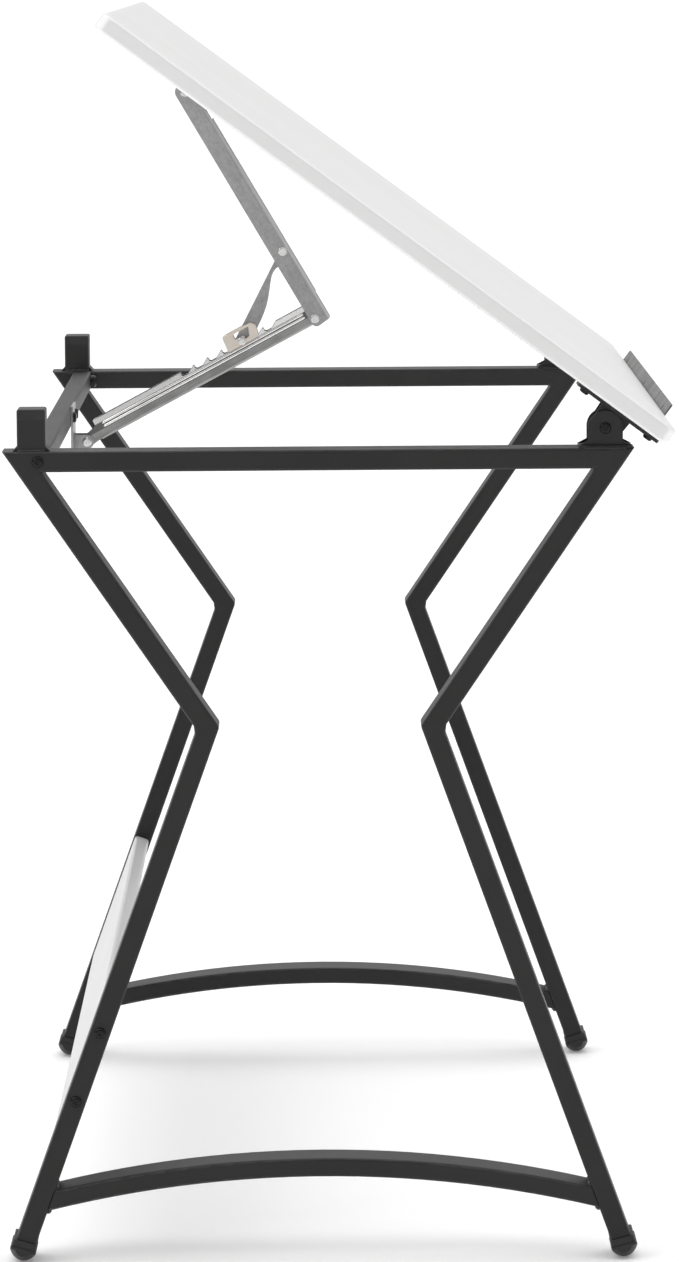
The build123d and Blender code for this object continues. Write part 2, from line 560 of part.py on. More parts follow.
# ---------------------------------------------------------------- hinges
def hinge_base_bracket():
    """The bracket welded to the left-hand rail: a plate and two outer ears with round tops."""
    half_gap = HINGE_INNER_GAP / 2 + HINGE_EAR + SEAT
    y, z = PIVOT
    plate = block((-RAIL_X - HINGE_BASE[0] / 2, -RAIL_X + HINGE_BASE[0] / 2),
                  (y - HINGE_BASE[1] / 2, y + HINGE_BASE[1] / 2), (RAIL_TOP, RAIL_TOP + HINGE_PLATE))
    side = outline([(y - HINGE_OUTER_EAR, RAIL_TOP), (y + HINGE_OUTER_EAR, RAIL_TOP),
                    (y + HINGE_OUTER_EAR, z), (y - HINGE_OUTER_EAR, z)])
    ear_face = side + Pos(y, z) * Circle(HINGE_OUTER_EAR)
    bracket = plate
    for inner in (-half_gap - HINGE_EAR, half_gap):
        bracket += slab(ear_face, -RAIL_X + inner, -RAIL_X + inner + HINGE_EAR)
        for way in (-1, 1):
            foot = outline([(y, RAIL_TOP), (y + way * HINGE_BASE[1] / 2, RAIL_TOP),
                            (y + way * HINGE_BASE[1] / 2, RAIL_TOP + HINGE_PLATE),
                            (y + way * HINGE_OUTER_EAR, RAIL_TOP + HINGE_PLATE + WELD_LEG),
                            (y, RAIL_TOP + HINGE_PLATE + WELD_LEG)])
            bracket += slab(foot, -RAIL_X + inner, -RAIL_X + inner + HINGE_EAR)
    hole = pin(-OUTER_X, -INNER_X, HINGE_BOLT_RADIUS + RUNNING, PIVOT)
    return bracket - hole


def hinge_top_bracket(x):
    """The bracket under the top: a flange with screws and two inner ears on the same bolt."""
    under = PIVOT_TO_UNDERSIDE
    flange = block((x - HINGE_FLANGE[0] / 2, x + HINGE_FLANGE[0] / 2),
                   (HINGE_FLANGE_START, HINGE_FLANGE_START + HINGE_FLANGE[1]),
                   (under - HINGE_FLANGE_THICK, under))
    corners = [e for e in flange.edges() if e.bounding_box().size.Z > HINGE_FLANGE_THICK / 2]
    bracket = fillet(corners, PLATE_ROUND)
    half = HINGE_EAR_WIDTH / 2
    ear_face = outline([(-half, under - HINGE_FLANGE_THICK / 2), (half, under - HINGE_FLANGE_THICK / 2),
                        (HINGE_INNER_RADIUS, 0), (-HINGE_INNER_RADIUS, 0)])
    ear_face = ear_face + Circle(HINGE_INNER_RADIUS)
    for start in (-HINGE_INNER_GAP / 2 - HINGE_EAR, HINGE_INNER_GAP / 2):
        bracket += slab(ear_face, x + start, x + start + HINGE_EAR)
    bracket -= pin(x - TUBE_DEPTH / 2, x + TUBE_DEPTH / 2, HINGE_BOLT_RADIUS + RUNNING, (0, 0))
    for y in HINGE_SCREW_PLACES:
        bracket -= upright_hole(x, y, under - 2 * HINGE_FLANGE_THICK, 3 * HINGE_FLANGE_THICK)
    return bracket


def hinge_bolt():
    """The left-hand hinge's axle, its head on the outer side."""
    head_face = -RAIL_X - HINGE_HALF
    return bolt(head_face, -1, PIVOT, HINGE_BOLT_RADIUS, 2 * HINGE_HALF + NUT_HEIGHT + 1, FRAME_BOLT_HEAD)


def hinge_nut():
    face = -RAIL_X + HINGE_HALF
    shape = slab(Pos(*PIVOT) * RegularPolygon(NUT_RADIUS, 6), face, face + NUT_HEIGHT)
    return shape - pin(face, face + NUT_HEIGHT, HINGE_BOLT_RADIUS + RUNNING, PIVOT)


# ---------------------------------------------------------------- top and its ledge
def tabletop():
    low = PIVOT_TO_UNDERSIDE
    board = block((-TOP_WIDTH / 2, TOP_WIDTH / 2), (-TOP_FRONT_REACH, TOP_DEPTH - TOP_FRONT_REACH),
                  (low, TOP_SURFACE))
    board = fillet(board.edges().filter_by(Axis.Z), TOP_PLAN_RADIUS)
    faces = board.faces().sort_by(Axis.Z)
    board = fillet(list(faces[-1].edges()) + list(faces[0].edges()), TOP_EDGE_RADIUS)
    for x in (-RAIL_X, RAIL_X):
        for y in HINGE_SCREW_PLACES:
            board -= upright_hole(x, y, low - 1, WOOD_SCREW_LENGTH)
    for x, y in LIFTER_SCREWS:
        board -= upright_hole(x, y, low - 1, WOOD_SCREW_LENGTH)
    for x in LEDGE_SCREW_XS:
        board -= ledge_bore(x, WOOD_SCREW_RADIUS + RUNNING)
    return board


def ledge_bore(x, radius):
    length = WOOD_SCREW_LENGTH
    return Pos(x, -TOP_FRONT_REACH + length / 2, LEDGE_SCREW_Z) * Rot(90, 0, 0) * Cylinder(radius, length)


def pencil_ledge():
    """A flat strip with rounded corners and a slot for each of its screws."""
    back = -TOP_FRONT_REACH
    high = TOP_SURFACE + LEDGE_RISE
    strip = block((-LEDGE_LENGTH / 2, LEDGE_LENGTH / 2), (back - LEDGE_THICKNESS, back),
                  (high - LEDGE_HEIGHT, high))
    corners = [e for e in strip.edges() if e.bounding_box().size.Y > LEDGE_THICKNESS / 2]
    strip = fillet(corners, LEDGE_ROUND)
    half = WOOD_SCREW_RADIUS + SEAT
    for x in LEDGE_SCREW_XS:
        strip -= block((x - half, x + half), (back - 2 * LEDGE_THICKNESS, back + 1),
                       (LEDGE_SCREW_Z, LEDGE_SCREW_Z + LEDGE_RISE))
        for z in (LEDGE_SCREW_Z, LEDGE_SCREW_Z + LEDGE_RISE):
            strip -= Pos(x, back, z) * Rot(90, 0, 0) * Cylinder(half, 4 * LEDGE_THICKNESS)
    return strip


def ledge_screw(x):
    """A flat-headed screw in the top's front edge, its head clear of the sliding strip."""
    face = -TOP_FRONT_REACH - LEDGE_THICKNESS - LEDGE_HEAD_GAP
    length = WOOD_SCREW_LENGTH - 1 - TOP_FRONT_REACH - face
    shank = Pos(x, face + length / 2, LEDGE_SCREW_Z) * Rot(90, 0, 0) * Cylinder(WOOD_SCREW_RADIUS, length)
    head = Pos(x, face - WOOD_SCREW_HEAD[1] / 2, LEDGE_SCREW_Z) * Rot(90, 0, 0) * Cylinder(*WOOD_SCREW_HEAD)
    rim = head.edges().filter_by(GeomType.CIRCLE).sort_by(Axis.Y)[0]
    return shank + fillet(rim, WOOD_SCREW_HEAD[1] * SCREW_DOME)


# ---------------------------------------------------------------- lifter
CHANNEL_WAY = unit(BASE_PIVOT[0] - ELBOW[0], BASE_PIVOT[1] - ELBOW[1])
ARM_WAY = unit(ARM_PIVOT[0] - ELBOW[0], ARM_PIVOT[1] - ELBOW[1])
LIPS = CHANNEL_HEIGHT - CHANNEL_BELOW
PIN_LEVEL = LIPS - TOOTH_HEIGHT + PIN_RADIUS + SEAT
PIN_PLACE = along(ELBOW, CHANNEL_WAY, LINK_LENGTH - PIN_FROM_BASE, PIN_LEVEL)
STRUT_PLACE = along(ELBOW, ARM_WAY, STRUT_PIVOT_ALONG, STRUT_PIVOT_ASIDE)
STRUT_WAY = unit(STRUT_PLACE[0] - PIN_PLACE[0], STRUT_PLACE[1] - PIN_PLACE[1])


def on_channel(distance, level):
    """A point that far from the elbow towards the base pivot, and that far above the pivot line."""
    return along(ELBOW, CHANNEL_WAY, distance, level)


def on_arm(distance, aside):
    """A point that far from the elbow towards the top pivot, and that far towards the web."""
    return along(ELBOW, ARM_WAY, distance, aside)


def on_strut(distance, aside):
    """A point that far from the ratchet pin towards the strut's top pivot."""
    return along(PIN_PLACE, STRUT_WAY, distance, aside)


def u_section(start, end, half_width, height, sheet, bend):
    """A folded U along a line: its web is on the line's left, its open side on the line itself."""
    way = unit(end[0] - start[0], end[1] - start[1])
    plane = Plane(origin=(0, *start), x_dir=(1, 0, 0), z_dir=(0, *way))
    length = hypot(end[0] - start[0], end[1] - start[1])

    def bar(half, depth, radius, lift):
        face = make_face(Polyline((-half, lift), (half, lift), (half, -depth), (-half, -depth), close=True))
        low = [v for v in face.vertices() if v.Y < lift - 1e-6]
        return extrude(plane * fillet(low, radius), length)

    return bar(half_width, height, bend, 0) - bar(half_width - sheet, height - sheet, bend - sheet, 5)


def lift_arm():
    """The long arm: a U with its web at the front, which leaves room for the channel at the elbow."""
    slope = (ARM_EDGE_AT_TOP - ARM_EDGE_AT_ELBOW) / LINK_LENGTH

    def rear(distance):
        return on_arm(distance, -ARM_EDGE_AT_ELBOW - slope * distance)

    def front(distance):
        return on_arm(distance, -ARM_EDGE_AT_ELBOW - slope * distance + ARM_HEIGHT)

    tail, head = -ARM_TAILS[0], LINK_LENGTH + ARM_TAILS[1]
    arm = u_section(rear(tail - 10), rear(head + 10), ARM_OUT, ARM_HEIGHT, SHEET, ARM_BEND)
    side = outline([rear(tail), rear(head), front(head), front(tail + 2)], ARM_ROUNDS)
    arm = arm & slab(side, -ARM_OUT, ARM_OUT)
    stop = LINK_LENGTH - ARM_WEB_STOP
    notch = outline([rear(stop), rear(head + 5), on_arm(head + 5, ARM_HEIGHT), on_arm(stop, ARM_HEIGHT)])
    arm -= slab(notch, -ARM_IN + ARM_BEND - SHEET, ARM_IN - ARM_BEND + SHEET)
    arm -= slab(notch, -ARM_IN, ARM_IN) & slab(Pos(*ARM_PIVOT) * Circle(ARM_WEB_STOP), -ARM_IN, ARM_IN)
    opening = outline([rear(tail - 5), rear(ARM_WEB_START), on_arm(ARM_WEB_START, ARM_HEIGHT),
                       on_arm(tail - 5, ARM_HEIGHT)])
    spacer = CHANNEL_OUT + ELBOW_HEAD + SEAT
    arm -= slab(opening, -spacer, spacer)
    return drill(arm, *[pin(-ARM_OUT - 1, ARM_OUT + 1, RIVET_RADIUS + RUNNING, at)
                        for at in (ELBOW, ARM_PIVOT, STRUT_PLACE)])


def tooth_gap(number):
    """One notch in the channel's lips: sloped on the elbow's side and square on the base's side."""
    square = LINK_LENGTH - FIRST_TOOTH - TOOTH_PITCH * number
    far = square - TOOTH_PITCH + TOOTH_TIP
    root = LIPS - TOOTH_HEIGHT
    points = [on_channel(far, LIPS + 3), on_channel(far, LIPS), on_channel(square - TOOTH_SEAT, root),
              on_channel(square, root), on_channel(square, LIPS + 3)]
    face = outline(points, [(2, PIN_RADIUS), (3, TOOTH_CORNER)])
    return slab(face, -CHANNEL_OUT - 1, CHANNEL_OUT + 1)


def ratchet_channel():
    """The toothed channel: a U with its web below, ribs along its sides and a tongue at the base."""
    start, end = LINK_LENGTH - CHANNEL_TAILS[1], -CHANNEL_TAILS[0]
    channel = u_section(on_channel(start, LIPS), on_channel(end, LIPS), CHANNEL_OUT, CHANNEL_HEIGHT,
                        SHEET, CHANNEL_BEND)
    root = start - TONGUE_ROOT
    tongue = outline([on_channel(root, -CHANNEL_BELOW + CHANNEL_BEND), on_channel(LINK_LENGTH, -TONGUE_RADIUS),
                      on_channel(LINK_LENGTH, TONGUE_RADIUS), on_channel(root, LIPS - TONGUE_DROP)])
    tongue = tongue + Pos(*BASE_PIVOT) * Circle(TONGUE_RADIUS)
    for x in (-CHANNEL_OUT, CHANNEL_IN):
        channel += slab(tongue, x, x + SHEET)
    for level in BEAD_LEVELS:
        low, high = level - BEAD_WIDTH / 2, level + BEAD_WIDTH / 2
        bead = outline([on_channel(BEAD_ENDS[0], low), on_channel(BEAD_ENDS[1], low),
                        on_channel(BEAD_ENDS[1], high), on_channel(BEAD_ENDS[0], high)])
        for x in (-CHANNEL_OUT - BEAD_PROUD, CHANNEL_OUT):
            channel += slab(bead, x, x + BEAD_PROUD)
    for number in range(TOOTH_COUNT):
        channel -= tooth_gap(number)
    nose = outline([on_channel(end - 1, LIPS + 1), on_channel(end + NOSE_CUT + 1, LIPS + 1),
                    on_channel(end - 1, LIPS - NOSE_CUT - 1)])
    channel -= slab(nose, -CHANNEL_OUT - 1, CHANNEL_OUT + 1)
    return drill(channel, *[pin(-CHANNEL_OUT - 1, CHANNEL_OUT + 1, RIVET_RADIUS + RUNNING, at)
                            for at in (ELBOW, BASE_PIVOT)])


def elbow_spacer():
    """The channel's end of the elbow pivot: a pin with flat heads outside the channel."""
    spacer = pin(-CHANNEL_OUT - ELBOW_HEAD, CHANNEL_OUT + ELBOW_HEAD, RIVET_RADIUS, ELBOW)
    for x in (-CHANNEL_OUT - ELBOW_HEAD, CHANNEL_OUT):
        spacer += pin(x, x + ELBOW_HEAD, RIVET_HEAD[0], ELBOW)
    return spacer


def latch_plate():
    """The slider that straddles the channel's lips and carries the ratchet pin."""
    here = LINK_LENGTH - PIN_FROM_BASE
    rear, front = here + LATCH_REACH[1], here + LATCH_REACH[0]
    low = LIPS - TOOTH_HEIGHT - LATCH_LAP
    high = low + LATCH_HEIGHT
    side = outline([on_channel(front + LATCH_CUT / 2, low + LATCH_CUT / 2), on_channel(front + LATCH_CUT, low),
                    on_channel(rear, low), on_channel(rear - 1.5, high), on_channel(front + LATCH_CUT, high),
                    on_channel(front, high - LATCH_CUT)], LATCH_ROUNDS)
    latch = slab(side, -LATCH_OUT, LATCH_OUT)
    roof = LIPS + 2 * SEAT
    for x in (-LATCH_IN, CHANNEL_IN - SEAT):
        walls = outline([on_channel(front - 1, low - 1), on_channel(rear + 1, low - 1),
                         on_channel(rear + 1, roof), on_channel(front - 1, roof)])
        latch -= slab(walls, x, x + SHEET + 2 * SEAT)
    bridge = here + LATCH_REACH[1] - LATCH_BRIDGE_LENGTH
    inside = outline([on_channel(front - 1, low - 1), on_channel(rear + 1, low - 1),
                      on_channel(rear + 1, high - SHEET), on_channel(bridge, high - SHEET),
                      on_channel(bridge, high + 1), on_channel(front - 1, high + 1)])
    latch -= slab(inside, -STRUT_OUT - SEAT, STRUT_OUT + SEAT)
    left, floor = front + LATCH_SLOT_PLACE[0], high - LATCH_SLOT_PLACE[1]
    right, top = left + LATCH_SLOT[0], floor + LATCH_SLOT[1]
    step, deep = here - LATCH_STEP[0], floor - LATCH_STEP[1]
    slot = outline([on_channel(left + LATCH_STEP[1], deep), on_channel(step, deep), on_channel(step, floor),
                    on_channel(right, floor), on_channel(right, top), on_channel(left, top)])
    latch -= slab(slot, -LATCH_OUT - 1, LATCH_OUT + 1)
    return latch - pin(-LATCH_OUT - 1, LATCH_OUT + 1, PIN_RADIUS + RUNNING, PIN_PLACE)


def strut():
    """The short curved strut between the ratchet pin and the arm."""
    slope = (ARM_EDGE_AT_TOP - ARM_EDGE_AT_ELBOW) / LINK_LENGTH
    web = -ARM_EDGE_AT_ELBOW - slope * STRUT_PIVOT_ALONG + ARM_HEIGHT - SHEET
    tip = web - STRUT_TOP_GAP
    foot_rear = on_strut(0, -STRUT_FOOT)
    rear_top, front_top = [on_arm(STRUT_PIVOT_ALONG + reach, tip) for reach in STRUT_TOP]
    back = on_strut(*STRUT_BACK)
    belly = [on_strut(*place) for place in STRUT_BELLY] + [front_top]
    edge = [Line(foot_rear, back), Line(back, rear_top), Line(rear_top, front_top), Spline(*reversed(belly)),
            ThreePointArc(belly[0], on_strut(-STRUT_FOOT, 0), foot_rear)]
    face = make_face(Curve() + edge)
    corner = min(face.vertices(), key=lambda v: hypot(v.X - rear_top[0], v.Y - rear_top[1]))
    face = fillet(corner, STRUT_TOP_ROUND)
    body = slab(face, -STRUT_OUT, STRUT_OUT)
    shift = along((0, 0), STRUT_WAY, 0, STRUT_SHEET)
    body -= slab(Pos(*shift) * face, -STRUT_OUT + STRUT_SHEET, STRUT_OUT - STRUT_SHEET)
    return body - pin(-STRUT_OUT - 1, STRUT_OUT + 1, PIN_RADIUS + RUNNING, PIN_PLACE)


def lifter_base_bracket():
    """The bracket on the crossbar's front face that carries the channel's base pivot."""
    back = CROSSBAR_FRONT
    high = RAIL_TOP + BASE_PLATE_RISE
    plate = block((-BASE_PLATE[0] / 2, BASE_PLATE[0] / 2), (back - BRACKET_SHEET, back),
                  (high - BASE_PLATE[1], high))
    y, z = BASE_PIVOT
    side = outline([(back - BRACKET_SHEET / 2, z - EAR_RADIUS), (back - BRACKET_SHEET / 2, z + EAR_ROOT),
                    (y, z + EAR_RADIUS), (y, z - EAR_RADIUS)])
    side = side + Pos(y, z) * Circle(EAR_RADIUS)
    bracket = plate
    for x in (-EAR_OUT, EAR_IN):
        bracket += slab(side, x, x + BRACKET_SHEET)
    bracket -= pin(-EAR_OUT - 1, EAR_OUT + 1, RIVET_RADIUS + RUNNING, BASE_PIVOT)
    for x in (-BASE_BOLT_SPACING / 2, BASE_BOLT_SPACING / 2):
        bracket -= Pos(x, back, BASE_BOLT_Z) * Rot(90, 0, 0) * Cylinder(
            FRAME_BOLT_RADIUS + RUNNING, 4 * BRACKET_SHEET)
    return bracket


def lifter_top_bracket():
    """The bracket under the top that carries the arm's pivot, drawn on the untilted top."""
    under = PIVOT_TO_UNDERSIDE
    y, z = ARM_PIVOT_LOCAL
    bracket = block((-TOP_PLATE[0] / 2, TOP_PLATE[0] / 2), (y - TOP_PLATE[1] / 2, y + TOP_PLATE[1] / 2),
                    (under - BRACKET_SHEET, under))
    corners = [e for e in bracket.edges() if e.bounding_box().size.Z > BRACKET_SHEET / 2]
    bracket = fillet(corners, TOP_PLATE_ROUND)
    side = outline([(y - 2 * EAR_RADIUS, under - 1), (y + 2 * EAR_RADIUS, under - 1), (y + EAR_RADIUS, z),
                    (y - EAR_RADIUS, z)]) + Pos(y, z) * Circle(EAR_RADIUS)
    outside = ARM_IN - SEAT
    for x in (-outside, outside - BRACKET_SHEET):
        bracket += slab(side, x, x + BRACKET_SHEET)
    for x, screw_y in LIFTER_SCREWS:
        bracket -= upright_hole(x, screw_y, under - 2 * BRACKET_SHEET, 3 * BRACKET_SHEET)
    return bracket - pin(-outside - 1, outside + 1, RIVET_RADIUS + RUNNING, (y, z))


def through_rivet(half, at, radius=RIVET_RADIUS, head=RIVET_HEAD):
    return rivet(0, -half, at, radius, head) + rivet(0, half, at, radius, head)


# ---------------------------------------------------------------- the parts, one file each
os.makedirs("parts", exist_ok=True)
LEG_CORNERS = ("left_rear", "right_rear", "left_front", "right_front")
SIDES = ("left", "right")


def save_pair(name, left):
    """The left-hand piece and its mirror image, as two nodes."""
    save(f"left_{name}", left)
    save(f"right_{name}", mirrored(left))


corner_hole = pin(-OUTER_X - 1, -INNER_X + 1, FRAME_BOLT_RADIUS + RUNNING, CROSSBAR_MID)
save_pair("rail", rail() - corner_hole)
save_pair("arch_bar", arch_bar())

plain_upper, plain_lower = upper_leg(), lower_leg()
board_holes = [pin(-OUTER_X - 1, -INNER_X + 1, FRAME_BOLT_RADIUS + RUNNING, at) for at in BOARD_BOLTS]
save_pair("rear_upper_leg", plain_upper)
save_pair("rear_lower_leg", drill(plain_lower, *board_holes))
save_pair("front_upper_leg", mirrored(plain_upper, Plane.XZ))
save_pair("front_lower_leg", mirrored(plain_lower, Plane.XZ))
for corner, cap in zip(LEG_CORNERS, four_ways(foot_cap())):
    save(f"{corner}_foot_cap", cap)

save("rear_crossbar", crossbar())
save_pair("crossbar_plug", crossbar_plug())
save_pair("crossbar_bolt", bolt(-OUTER_X, -1, CROSSBAR_MID, FRAME_BOLT_RADIUS, TUBE_DEPTH + BOLT_GRIP,
                                FRAME_BOLT_HEAD))
save_pair("crossbar_lock_bolt", front_bolt(-LOCK_BOLT_X, CROSSBAR_MID[1], CROSSBAR_FRONT,
                                           LOCK_BOLT_REACH, LOCK_BOLT_HEAD))
save_pair("rest_post", rest_post())
save_pair("rest_post_cap", post_cap())

save("back_board", back_board())
save_pair("board_bolts", [bolt(-OUTER_X, -1, at, FRAME_BOLT_RADIUS, TUBE_DEPTH + BOARD_BOLT_GRIP,
                               FRAME_BOLT_HEAD) for at in BOARD_BOLTS])
save_pair("board_inserts", [board_insert(at) for at in BOARD_BOLTS])

save_pair("hinge_base_bracket", hinge_base_bracket())
save_pair("hinge_bolt", hinge_bolt())
save_pair("hinge_nut", hinge_nut())
for side, x in zip(SIDES, (-RAIL_X, RAIL_X)):
    save(f"{side}_hinge_top_bracket", on_top(hinge_top_bracket(x)))
    face = PIVOT_TO_UNDERSIDE - HINGE_FLANGE_THICK
    screws = [upright_screw(x, y, face, -1, HINGE_SCREW_HEAD) for y in HINGE_SCREW_PLACES]
    save(f"{side}_hinge_screws", [on_top(screw) for screw in screws])

save("tabletop", on_top(tabletop()))
save("pencil_ledge", on_top(pencil_ledge()))
save("ledge_screws", [on_top(ledge_screw(x)) for x in LEDGE_SCREW_XS])

save("lifter_base_bracket", lifter_base_bracket())
save("lifter_base_bolts", [front_bolt(x, BASE_BOLT_Z, CROSSBAR_FRONT - BRACKET_SHEET, 12, FRAME_BOLT_HEAD)
                           for x in (-BASE_BOLT_SPACING / 2, BASE_BOLT_SPACING / 2)])
save("lifter_base_rivet", through_rivet(EAR_OUT, BASE_PIVOT))
save("ratchet_channel", ratchet_channel())
save("elbow_spacer", elbow_spacer())
save("latch_plate", latch_plate())
save("ratchet_pin", [pin(-STRUT_OUT - SEAT - LATCH_EAR, STRUT_OUT + SEAT + LATCH_EAR, PIN_RADIUS, PIN_PLACE),
                     rivet(-LATCH_IN, -LATCH_OUT, PIN_PLACE, PIN_RADIUS, PIN_HEAD),
                     rivet(LATCH_IN, LATCH_OUT, PIN_PLACE, PIN_RADIUS, PIN_HEAD)])
save("strut", strut())
save("lift_arm", lift_arm())
save("elbow_rivets", [rivet(x, way * ARM_OUT, ELBOW) for way, x in ((-1, -ARM_IN), (1, ARM_IN))])
save("strut_rivets", [rivet(x, way * ARM_OUT, STRUT_PLACE) for way, x in ((-1, -ARM_IN), (1, ARM_IN))])
save("lifter_top_bracket", on_top(lifter_top_bracket()))
save("lifter_top_screws", [on_top(upright_screw(x, y, PIVOT_TO_UNDERSIDE - BRACKET_SHEET, -1))
                           for x, y in LIFTER_SCREWS])
save("lifter_top_rivet", through_rivet(ARM_OUT, ARM_PIVOT))
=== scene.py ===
import json
import math

import bpy
from mathutils import Matrix, Vector


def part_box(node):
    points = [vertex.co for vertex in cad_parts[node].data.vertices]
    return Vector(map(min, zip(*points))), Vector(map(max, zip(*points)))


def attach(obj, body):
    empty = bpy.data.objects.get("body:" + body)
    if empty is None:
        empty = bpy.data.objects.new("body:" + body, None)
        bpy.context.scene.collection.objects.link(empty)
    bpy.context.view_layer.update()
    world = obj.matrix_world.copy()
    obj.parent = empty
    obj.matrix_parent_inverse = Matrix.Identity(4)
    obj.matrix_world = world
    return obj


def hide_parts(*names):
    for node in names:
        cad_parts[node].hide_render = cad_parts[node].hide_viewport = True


# Looks of a tilting drafting table, in metres. X runs across its width, -Y is the user's side,
# +Y the rear, +Z up, and the origin is on the floor under the middle of the frame.

# ---------------------------------------------------------------- sizes and places
REST_TILT = math.radians(36.5)                 # of the top, as it stands
PIVOT = Vector((0.0, -0.250, 0.737))           # hinge axis of the top
PIVOT_TO_UNDERSIDE = 0.020
CHANNEL_ELBOW = Vector((0.0, 0.002458, 0.803233))
CHANNEL_WAY = Vector((0.0, 0.88236, -0.47058))     # down the channel, from the elbow
CHANNEL_UP = Vector((0.0, 0.47058, 0.88236))
ARM_WAY = Vector((0.0, 0.49257, 0.87027))          # up the arm, from the elbow
CHANNEL_HALF = 0.010

SMOOTH_ANGLE = math.radians(50)                # faces that meet at less are shaded as one surface
MERGE_DISTANCE = 1e-6

TUBE_INSET = 0.002                             # of a weld's ends, from the tube's sides
WELD_RIPPLE = 0.0026                           # length of each ring of a bead
WELD_WAVE = (0.10, 2.4)                        # share of the radius, and its turn from ring to ring
WELD_NOTCH = 0.13                              # share by which every other ring is thinner
WELD_END = 0.35                                # share of the radius left at a bead's ends
ARCH_WELD = 0.0036                             # radius
ARCH_JOINT_TOP = (0.2367, 0.0656)              # y and z where the arch meets the leg
ARCH_JOINT_UNDER = (0.2434, 0.0472)
CORNER_WELD = 0.0030
CORNER_JOINT = (0.2410, 0.7020)                # under the rail, in the angle of the upper leg
POST_WELD = 0.0022
POST_FLARE = 0.0045                            # of the weld at the post's front and rear faces
PLATE_WELD = 0.0015
PLATE_WELD_INSET = 0.004                       # of its ends, from the plate's

RIB_LEVELS = (0.0056, 0.0090)                  # above the line between the channel's pivots
RIB_SPAN = (0.0075, 0.2265)                    # from the elbow
RIB_RADIUS = 0.0014
RIB_PROUD = 0.0011
RIB_TAPER = 0.010                              # share of the length over which each end thins
GROOVE_LEVELS = (0.0036, 0.0106)               # painted shade lies between these, and a band of painted sheen above
GROOVE_BLUR = 0.0003                           # half the width of the change from one to the next

SCREW_HEAD = 0.0044                            # radius
SCREW_HEIGHT = 0.0019
HINGE_SCREW_HEIGHT = 0.0030
SCREW_ROUND = 0.62                             # of the head's rim, as a share of its height
SCREW_SPIN = 0.7                               # turn from one screw's cross to the next, in radians
SCREW_RECESS = (0.0046, 0.0009, 0.0011)        # length, width and depth of each slot of the cross
BRACKET_PLATE = 0.0020
HINGE_PLATE = 0.0045
HINGE_SCREW_PLACES = (-0.0357, 0.0327)         # along the top, from the hinge axis
LIFTER_SCREW_PLACES = (0.447, 0.489)
LIFTER_SCREW_HALF = 0.021
LEDGE_SCREW_SPACING = 0.290
LEDGE_SCREW_LEVEL = 0.028                      # above the hinge axis, square to the top
LEDGE_HEAD_FACE = 0.0497                       # in front of the hinge axis, along the top

CAMERA_PLACE = Vector((-5.4391, -0.0043, 1.1549))
CAMERA_YAW = math.radians(-0.1533)
CAMERA_PITCH = math.radians(6.8414)
CAMERA_ROLL = math.radians(0.3808)
CAMERA_LENS = 162.913                          # in millimetres, like the sensor's longer side
SENSOR = 36.0
CAMERA_REACH = 500                             # farthest distance that is drawn

FLOOR_SIZE = 400
WORLD_LIGHT = (0.14, 0.80)                     # on the side the camera is on, and beyond the table
LAMPS = (                                      # name, kind, place, aim, energy, angle or size
    ("overhead", "SUN", (0.5, 0.4, 4), (0, 0, 0), 2.0, math.radians(105)),
    ("rear_softbox", "AREA", (-2.2, 2.6, 2.6), (0, 0, 0.7), 20, (1.6, 1.6)),
    ("front_softbox", "AREA", (-2.0, -3.0, 1.6), (0, 0, 0.6), 8, (1.2, 2.0)),
)


# ---------------------------------------------------------------- finishes
class Field:
    """A number or colour that varies over a surface. Sums of fields and numbers make Math nodes."""

    def __init__(self, nodes, socket):
        self.nodes = nodes
        self.socket = socket

    def sum(self, operation, *others):
        inputs = dict(enumerate((self, *others)))
        return self.nodes.node("ShaderNodeMath", {"operation": operation}, inputs)

    def __add__(self, other):
        return self.sum("ADD", other)

    def __mul__(self, other):
        return self.sum("MULTIPLY", other)

    def __sub__(self, other):
        return self.sum("SUBTRACT", other)

    def __rsub__(self, other):
        return self * -1 + other

    __radd__ = __add__
    __rmul__ = __mul__

    def power(self, exponent):
        return self.sum("POWER", exponent)

    def size(self):
        return self.sum("ABSOLUTE")

    def ramp(self, low, high, start=0.0, end=1.0):
        """This field brought from low..high to start..end, and held there beyond."""
        settings = {"interpolation_type": "SMOOTHSTEP"}
        inputs = {"Value": self, "From Min": low, "From Max": high, "To Min": start, "To Max": end}
        return self.nodes.node("ShaderNodeMapRange", settings, inputs)


class Nodes:
    """A node tree, whose nodes are all made by one method."""

    def __init__(self, tree):
        self.tree = tree

    def add(self, kind, settings, inputs):
        made = self.tree.nodes.new(kind)
        for name, value in settings.items():
            setattr(made, name, value)
        self.join(made, inputs)
        return made

    def node(self, kind, settings, inputs, output=0):
        """Adds a node and gives one of its outputs."""
        return Field(self, self.add(kind, settings, inputs).outputs[output])

    def join(self, made, inputs):
        """Links fields to a node's inputs, and sets the ones that are given as values."""
        for key, value in inputs.items():
            if isinstance(value, Field):
                self.tree.links.new(value.socket, made.inputs[key])
            else:
                made.inputs[key].default_value = value


